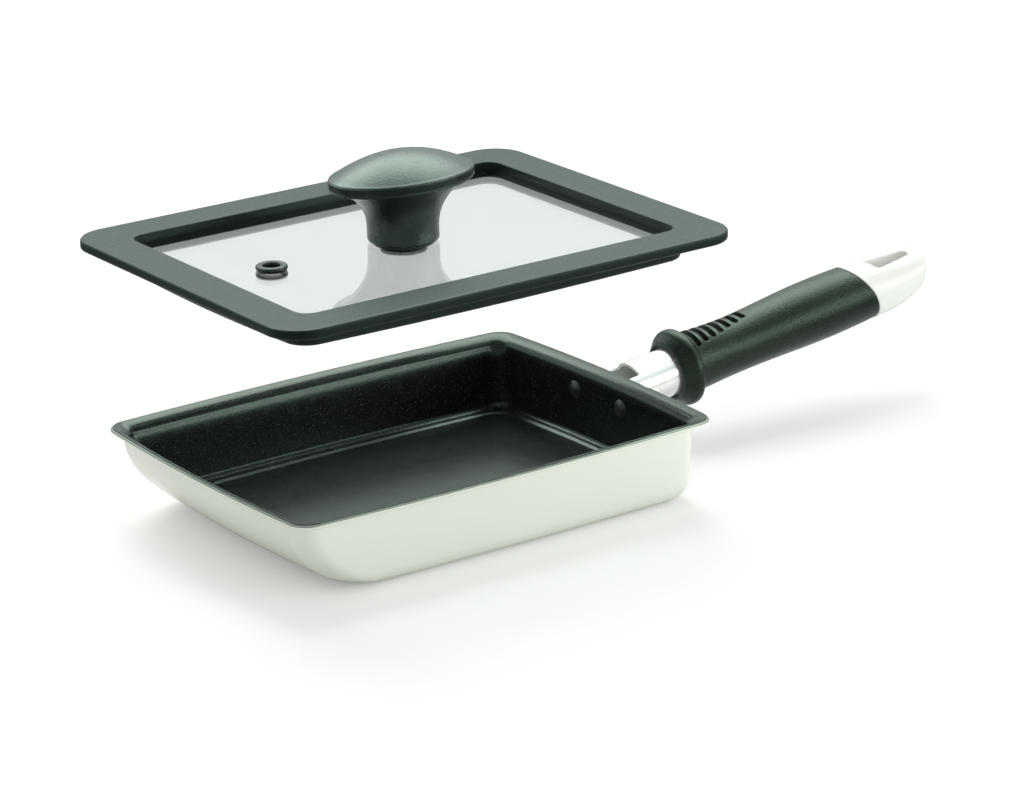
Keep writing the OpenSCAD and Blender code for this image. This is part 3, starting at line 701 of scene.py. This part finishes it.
# The tree works in the handle's axes: x runs along it and z is above it
tree, given, out = geometry_tree("thumb grooves")
named = ["First groove", "Pitch", "Last groove", "Half width", "Depth", "Half length", "Shorter by", "Edge"]
sockets = [number_input(tree, name) for name in named]
root_at = number_input(tree, "Root", "NodeSocketVector")
turn = number_input(tree, "Tilt", "NodeSocketVector")


def calc(operation, *values):
    """One step of arithmetic on numbers and sockets of the tree that is being built."""
    node = tree.nodes.new("ShaderNodeMath")
    node.operation = operation
    for socket, value in zip(node.inputs, values):
        if isinstance(value, (int, float)):
            socket.default_value = value
        else:
            tree.links.new(value, socket)
    return node.outputs[0]


def fade(value, low, high):
    """1 where value is under low, 0 where it is over high, and a smooth step between."""
    node = tree.nodes.new("ShaderNodeMapRange")
    node.interpolation_type = "SMOOTHSTEP"
    for socket, number in zip(("Value", "From Min", "From Max"), (value, low, high)):
        tree.links.new(number, node.inputs[socket])
    node.inputs["To Min"].default_value, node.inputs["To Max"].default_value = 1, 0
    return node.outputs["Result"]


get = {name: given.outputs[name] for name in named}
where = tree.nodes.new("GeometryNodeInputPosition")
split = tree.nodes.new("ShaderNodeSeparateXYZ")
tree.links.new(where.outputs[0], split.inputs[0])
along, across, above = split.outputs
from_first = calc("SUBTRACT", along, get["First groove"])
index = calc("ROUND", calc("DIVIDE", from_first, get["Pitch"]))
index = calc("MINIMUM", calc("MAXIMUM", index, 0), get["Last groove"])
off = calc("ABSOLUTE", calc("SUBTRACT", from_first, calc("MULTIPLY", index, get["Pitch"])))
reach = calc("SUBTRACT", get["Half length"], calc("MULTIPLY", index, get["Shorter by"]))


def within(value, limit):
    """1 inside the groove's limit and 0 outside it, with the groove's rounded edge between."""
    return fade(value, calc("SUBTRACT", limit, get["Edge"]), calc("ADD", limit, get["Edge"]))


in_groove = calc("MULTIPLY", within(off, get["Half width"]), within(calc("ABSOLUTE", across), reach))
sink = calc("MULTIPLY", in_groove, calc("MULTIPLY", get["Depth"], calc("GREATER_THAN", above, 0)))
middle = tree.nodes.new("ShaderNodeCombineXYZ")
tree.links.new(across, middle.inputs["Y"])
tree.links.new(above, middle.inputs["Z"])
outwards = tree.nodes.new("ShaderNodeVectorMath")
outwards.operation = "NORMALIZE"
tree.links.new(middle.outputs[0], outwards.inputs[0])
pushed = tree.nodes.new("ShaderNodeVectorMath")
pushed.operation = "SCALE"
tree.links.new(outwards.outputs[0], pushed.inputs[0])
tree.links.new(calc("MULTIPLY", sink, -1), pushed.inputs["Scale"])
carve = tree.nodes.new("GeometryNodeSetPosition")
tree.links.new(given.outputs["Mesh"], carve.inputs["Geometry"])
tree.links.new(pushed.outputs[0], carve.inputs["Offset"])
to_pan = tree.nodes.new("GeometryNodeTransform")
tree.links.new(carve.outputs[0], to_pan.inputs["Geometry"])
tree.links.new(given.outputs["Root"], to_pan.inputs["Translation"])
tree.links.new(given.outputs["Tilt"], to_pan.inputs["Rotation"])
close_tree(tree, to_pan.outputs[0], rubber, out)
# All sizes go in as metres, and the number of the last groove as it is
sizes = (groove_from, groove_pitch, (grooves - 1) * 1000, groove_half, groove_depth, groove_reach,
         groove_shorter, groove_edge)
grown(sleeve, tree, {**{socket: value / 1000 for socket, value in zip(sockets, sizes)},
                     root_at: (wall_x / 1000, 0, root_z / 1000), turn: (0, -math.radians(tilt), 0)}, rubber)
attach(sleeve, "pan")
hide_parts("grip_sleeve")

# Lid frame. Charcoal silicone moulded round the glass: a flat band with rounded edges, and below it a plug
# that enters the pan and is bowed like the pan's rim.
lid_len, lid_wid, lid_corner, band, flange_t, plug_h = 200, 156, 14, 17, 3.8, 8
glass_t, glass_at, lift, vent_at = 4, 3.2, 70.7, 58
lid_z = pan_h + 0.3 + lift
lid_top = lid_z + flange_t
glass_z = lid_top - glass_at - glass_t
plug_off = flare_w + wall + coat_t + 0.7
plug_l, plug_w = half_l - plug_off, half_w - plug_off
channel, open_r, glass_r, plug_r = 1.3, 6, 7, 9
open_edge, foot_edge, plug_edge, rim_edge = 0.5, 0.6, 1.2, 0.9


def lid_ring(inset, z, r):
    return outline(lid_z + z, -lid_len / 2 + inset, lid_len / 2 - inset, lid_wid / 2 - inset, r, r)


def plug_ring(inset, z):
    return outline(lid_z + z, -plug_l + inset, plug_l - inset, plug_w - inset, plug_r, plug_r,
                   bow_end - 0.2, bow_side - 0.3)


seat = flange_t - glass_at
under_seat = seat - glass_t - gap
glass_edge = band - channel + 2.4 * gap  # the silicone is bonded to the glass along here
# From the band's top in through the opening, round the glass, and out again along the plug and the flange
frame_rings = [lid_ring(band - 2, flange_t, open_r + 1)]
frame_rings += [lid_ring(band - e, flange_t - h, open_r) for h, e in quarter(open_edge, 6)]
frame_rings += [lid_ring(band, seat + gap, open_r), lid_ring(glass_edge, seat + gap, glass_r),
                lid_ring(glass_edge, under_seat, glass_r), lid_ring(band, under_seat, open_r)]
frame_rings += [lid_ring(band + h, -plug_h + e, open_r) for h, e in quarter(foot_edge, 5)]
frame_rings += [plug_ring(2, -plug_h)] + [plug_ring(e, -plug_h + h) for h, e in quarter(plug_edge, 6)]
frame_rings += [plug_ring(0, -0.3), plug_ring(0, 0), lid_ring(3.5, 0, lid_corner - 2)]
frame_rings += [lid_ring(e, h, lid_corner - e) for h, e in quarter(rim_edge, 6)]
frame_rings += [lid_ring(h, flange_t - e, lid_corner - h) for h, e in quarter(rim_edge, 6)]
frame_rings += [lid_ring(2.5, flange_t, lid_corner - 2.5)]
lid_frame = settle(shell("silicone_frame", frame_rings, loop=True))

silicone, tree, shader = material("charcoal silicone", (0.005, 0.008, 0.006), 0.42, IOR=1.36,
                                  Specular_Tint=(0.68, 1, 0.83, 1), **soft_sheen(0.07, (0.62, 1, 0.8)))
color_by(tree, shader, noise(tree, 40, 3), (0.002, 0.0026, 0.0023), (0.004, 0.005, 0.0045))
gloss_by(tree, shader, noise(tree, 1.4, 3), 0.38, 0.46)
relief(tree, shader, noise(tree, 0.7, 3), 0.03)
lid_frame.data.materials.append(silicone)
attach(lid_frame, "lid")
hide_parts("lid_frame")

# Glass pane. Toughened soda glass 4 mm thick, held in the frame's groove and coloured so that what shows
# through it is darker and a little green. It has one hole for the vent's grommet and one for the knob's screw.


def blend_shaders(tree, share, first, second, end):
    """Shows the first or the second shader by a share, as what the end node takes."""
    node = tree.nodes.new("ShaderNodeMixShader")
    for value, socket in zip((share, first.outputs[0], second.outputs[0]), node.inputs):
        tree.links.new(value, socket)
    tree.links.new(node.outputs[0], tree.nodes[end].inputs["Surface"])


glass, tree, shader = material("clear glass", (0.635, 0.655, 0.64), 0.0, IOR=1.5, Transmission_Weight=1)
gloss_by(tree, shader, noise(tree, 50, 2), 0, 0.01)
see = tree.nodes.new("ShaderNodeBsdfTransparent")
see.inputs[0].default_value = (0.90, 0.94, 0.92, 1)
ray = tree.nodes.new("ShaderNodeLightPath")
blend_shaders(tree, ray.outputs["Is Shadow Ray"], shader, see, "Material Output")
paint("glass_pane", glass)

# Vent grommet. A black rubber ring pushed through a hole in the glass, with a round lip above and a thin one
# below. Steam leaves through it.
under, over, lip_r, waist_r, vent_r = 1.3, 2.1, 6, 4.35, 3.2
low_edge, lip_edge, mouth_edge = 0.4, 0.95, 0.9
glass_low, glass_high = glass_z - gap, glass_z + glass_t + gap
low, high = glass_low - under, glass_high + over
profile = [(vent_r, low), (lip_r - low_edge, low), (lip_r, low + low_edge), (lip_r, glass_low),
           (waist_r, glass_low), (waist_r, glass_high), (lip_r - low_edge, glass_high)]
profile += [(lip_r - lip_edge * (1 - sin(a)), high - lip_edge * (1 + cos(a))) for a in range(20, 181, 20)]
profile += [(vent_r + e, high - h) for h, e in quarter(mouth_edge, 6)]
grommet_rings = [[(x - vent_at, y, z) for x, y, z in ring] for ring in turned(profile, 72)]
grommet = settle(shell("vent_ring", grommet_rings, loop=True))

black, tree, shader = material("black rubber", (0.008, 0.010, 0.008), 0.42, Specular_Tint=(0.8, 1, 0.88, 1))
color_by(tree, shader, noise(tree, 3, 3), (0.006, 0.008, 0.006), (0.012, 0.015, 0.012))
relief(tree, shader, noise(tree, 0.5, 2), 0.01)
grommet.data.materials.append(black)
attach(grommet, "lid")
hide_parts("vent_grommet")

# Knob. Charcoal plastic with a fine grain: a round foot whose stem opens out to an oval cap, with a band, a
# lip along the band's lower edge and a domed top. It stands on a thin gasket on the glass.
cap_len, cap_wid, foot_r, stem_h, cap_band, dome_h = 60, 40, 13.6, 22, 4, 8.28
foot_h, stem_opening, dome_from, gasket_t = 4, 0.755, 0.985, 0.8
foot_z, knob_h = lid_top - glass_at + gasket_t, stem_h + cap_band + dome_h
# Rows of (height, share of the way from the foot's radius to the cap's half size, share of the whole radius)
knob_rows = [(0, 0, 0.0), (0, 0, 0.45), (0, 0, 0.88), (0.1, 0, 0.94), (0.45, 0, 0.98), (1.2, 0, 1), (2.5, 0, 1)]
knob_rows += [(foot_h + (stem_h - foot_h) * i / 16, stem_opening * (i / 16) ** 2.6, 1) for i in range(17)]
# The cap's underside, the lip along its lower edge and its band, in heights over the stem
for h, opening in ((0.1, 0.80), (0.2, 0.90), (0.25, 0.97), (0.4, 0.995), (0.6, 1), (0.85, 1), (1, 0.985),
                   (1.15, 0.982), (1.3, 0.985), (2.3, 0.992), (3.3, 0.997), (3.75, 0.997), (3.95, 0.985)):
    knob_rows.append((stem_h + h, opening, 1))
for k in [i / 20 for i in range(19, -1, -1)]:
    knob_rows.append((stem_h + cap_band + dome_h * (1 - k ** 2), dome_from, k))

moulded, knob_tree, shader = material("grained plastic", (0.006, 0.008, 0.007), 0.34, IOR=1.6,
                                      Specular_Tint=(0.75, 1, 0.88, 1), **soft_sheen(0.06, (0.65, 1, 0.82)))
grain = noise(knob_tree, 0.8, 3, 0.65)
color_by(knob_tree, shader, span(knob_tree, grain, 0.35, 0.65), (0.0012, 0.0015, 0.0013),
         (0.0055, 0.007, 0.006))
gloss_by(knob_tree, shader, noise(knob_tree, 8, 2), 0.25, 0.31)
relief(knob_tree, shader, grain, 0.13)

tree, given, out = geometry_tree("waisted knob")
named = ["Foot radius", "Cap half length", "Cap half width", "Height", "Foot height"]
sockets = [number_input(tree, name) for name in named]
get = {name: given.outputs[name] for name in named}
grid = tree.nodes.new("GeometryNodeMeshGrid")
grid.inputs["Size X"].default_value = grid.inputs["Size Y"].default_value = 1
grid.inputs["Vertices X"].default_value = 145
grid.inputs["Vertices Y"].default_value = 241
where = tree.nodes.new("GeometryNodeInputPosition")
split = tree.nodes.new("ShaderNodeSeparateXYZ")
tree.links.new(where.outputs[0], split.inputs[0])
angle = calc("MULTIPLY", split.outputs["X"], 2 * math.pi)
way = calc("ADD", split.outputs["Y"], 0.5)


def along_profile(column, scale):
    """Value of one column of the knob's rows, part of the way up its profile."""
    node = tree.nodes.new("ShaderNodeFloatCurve")
    curve = node.mapping.curves[0]
    values = [row[column] / scale for row in knob_rows]
    while len(curve.points) < len(values):
        curve.points.new(0.5, 0.5)
    for i, value in enumerate(values):
        curve.points[i].location = (i / (len(values) - 1), value)
        curve.points[i].handle_type = "AUTO_CLAMPED"
    node.mapping.update()
    tree.links.new(way, node.inputs["Value"])
    return node.outputs[0]


height = along_profile(0, knob_h)
opening, closing = along_profile(1, 1), along_profile(2, 1)
ring_point = tree.nodes.new("ShaderNodeCombineXYZ")
for axis, half, wave in ((0, get["Cap half length"], "COSINE"), (1, get["Cap half width"], "SINE")):
    gain = calc("MULTIPLY", calc("SUBTRACT", half, get["Foot radius"]), opening)
    r = calc("MULTIPLY", calc("ADD", get["Foot radius"], gain), closing)
    tree.links.new(calc("MULTIPLY", r, calc(wave, angle)), ring_point.inputs[axis])
raised = calc("ADD", get["Foot height"], calc("MULTIPLY", height, get["Height"]))
tree.links.new(raised, ring_point.inputs[2])
wrap = tree.nodes.new("GeometryNodeSetPosition")
tree.links.new(grid.outputs[0], wrap.inputs["Geometry"])
tree.links.new(ring_point.outputs[0], wrap.inputs["Position"])
weld = tree.nodes.new("GeometryNodeMergeByDistance")
weld.inputs["Distance"].default_value = 0.00001
tree.links.new(wrap.outputs[0], weld.inputs["Geometry"])
close_tree(tree, weld.outputs[0], moulded, out)
knob = add_object("oval_knob", bpy.data.meshes.new("oval_knob"))
sizes = (foot_r, cap_len / 2, cap_wid / 2, knob_h, foot_z)
grown(knob, tree, {socket: value / 1000 for socket, value in zip(sockets, sizes)}, moulded)
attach(knob, "lid")
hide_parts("knob")

# Knob fittings. A screw from below passes a steel washer, a rubber seal, a bush in the glass and a gasket,
# and ends in a brass insert in the knob's foot.
for name, made_of in (("knob_insert", brass), ("knob_gasket", black), ("glass_bush", black),
                      ("washer_seal", black), ("knob_washer", plain_steel), ("knob_screw", plain_steel)):
    paint(name, made_of)

# Studio. A white floor that keeps the shadows and is dark in reflections away from the pan, a large soft lamp
# behind on the right that casts them, a broad softbox over the pan's back that only glossy surfaces show, and a
# low strip on the right in front. The world is pale, and darker high up in front.
floor_half = 6
mesh = bpy.data.meshes.new("floor")
corners = [(-floor_half, -floor_half, 0), (floor_half, -floor_half, 0), (floor_half, floor_half, 0),
           (-floor_half, floor_half, 0)]
mesh.from_pydata(corners, [], [(0, 1, 2, 3)])
floor = add_object("floor", mesh)
to_front = (-0.572, -0.820, 0)
lamp_target = Vector((0, 0, 0.07))


def towards_front(vector):
    """How far a direction points towards the camera's side."""
    node = tree.nodes.new("ShaderNodeVectorMath")
    node.operation = "DOT_PRODUCT"
    node.inputs[1].default_value = to_front
    tree.links.new(vector, node.inputs[0])
    return node.outputs["Value"]


def ray_kinds():
    """Which rays a surface mirrors, and which reach the picture without being scattered (1 for yes)."""
    ray = tree.nodes.new("ShaderNodeLightPath").outputs
    glossy, refracted = ray["Is Glossy Ray"], ray["Is Transmission Ray"]
    seen = calc("MAXIMUM", ray["Is Camera Ray"], calc("MAXIMUM", glossy, refracted))
    return calc("GREATER_THAN", glossy, refracted), seen


ground, tree, shader = material("white floor", (0.80, 0.82, 0.79), 0.9, Specular_IOR_Level=0)
mirrored, seen = ray_kinds()
glow = tree.nodes.new("ShaderNodeEmission")
lit = tree.nodes.new("ShaderNodeBsdfDiffuse")
far = tree.nodes.new("ShaderNodeVectorMath")
far.operation = "LENGTH"
tree.links.new(place(tree), far.inputs[0])
white_to, dark_from = 0.21, 0.33  # metres from the middle, between which the mirrored floor darkens
away = span(tree, far.outputs["Value"], white_to, dark_from)
shown = blend_colors(tree, away, (0.95, 0.96, 0.95), (0.15, 0.16, 0.15))
tree.links.new(blend_colors(tree, mirrored, (0.84, 0.845, 0.84), shown), lit.inputs["Color"])
tree.links.new(span(tree, mirrored, 0, 1, 0.22, 0), glow.inputs["Strength"])
both = tree.nodes.new("ShaderNodeAddShader")
tree.links.new(lit.outputs[0], both.inputs[0])
tree.links.new(glow.outputs[0], both.inputs[1])
blend_shaders(tree, seen, shader, both, "Material Output")
floor.data.materials.append(ground)

for name, spot, size, power, diffuse, glossy in (
        ("key_lamp", (0.65, 2.15, 2.6), (1.9, 2.6), 66, True, False),
        ("rear_softbox", (0.545, 0.782, 1.6), (2.4, 1.3), 50, False, True),
        ("front_strip", (0.60, -0.70, 0.20), (0.75, 0.20), 3.0, True, True)):
    lamp = add_object(name, bpy.data.lights.new(name, "AREA"))
    lamp.data.shape = "RECTANGLE"
    lamp.data.size, lamp.data.size_y = size
    lamp.data.energy = power
    lamp.data.color = (0.96, 1, 0.965) if glossy else (1, 1, 1)
    lamp.location = spot
    lamp.rotation_euler = (Vector(spot) - lamp_target).to_track_quat("Z", "Y").to_euler()
    lamp.visible_camera = False
    lamp.visible_diffuse = diffuse
    lamp.visible_glossy = glossy

world = bpy.data.worlds.new("studio")
bpy.context.scene.world = world
world.use_nodes = True
tree = world.node_tree
plain = tree.nodes["Background"]
plain.inputs["Color"].default_value = (0.99, 1, 0.98, 1)
plain.inputs["Strength"].default_value = 0.65
white_back = tree.nodes.new("ShaderNodeBackground")
direction = tree.nodes.new("ShaderNodeTexCoord")
mirrored, seen = ray_kinds()
height = tree.nodes.new("ShaderNodeSeparateXYZ")
tree.links.new(direction.outputs["Generated"], height.inputs[0])
front = towards_front(direction.outputs["Generated"])
# Brightness by height in reflections, behind the pan and in front of it
behind = span(tree, height.outputs["Z"], 0.24, 0.33, 0.9, 1.45)
ahead = span(tree, height.outputs["Z"], 0.30, 0.50, 0.75, 0.22)
bright = calc("ADD", behind, calc("MULTIPLY", span(tree, front, 0, 0.4), calc("SUBTRACT", ahead, behind)))
dim = calc("MULTIPLY", mirrored, calc("SUBTRACT", 1, bright))
tree.links.new(calc("SUBTRACT", 1, dim), white_back.inputs["Strength"])
tree.links.new(blend_colors(tree, mirrored, (1.0, 1.0, 1.0), (0.90, 1.0, 0.94)), white_back.inputs["Color"])
blend_shaders(tree, seen, plain, white_back, "World Output")

bpy.context.scene.view_settings.view_transform = "Standard"
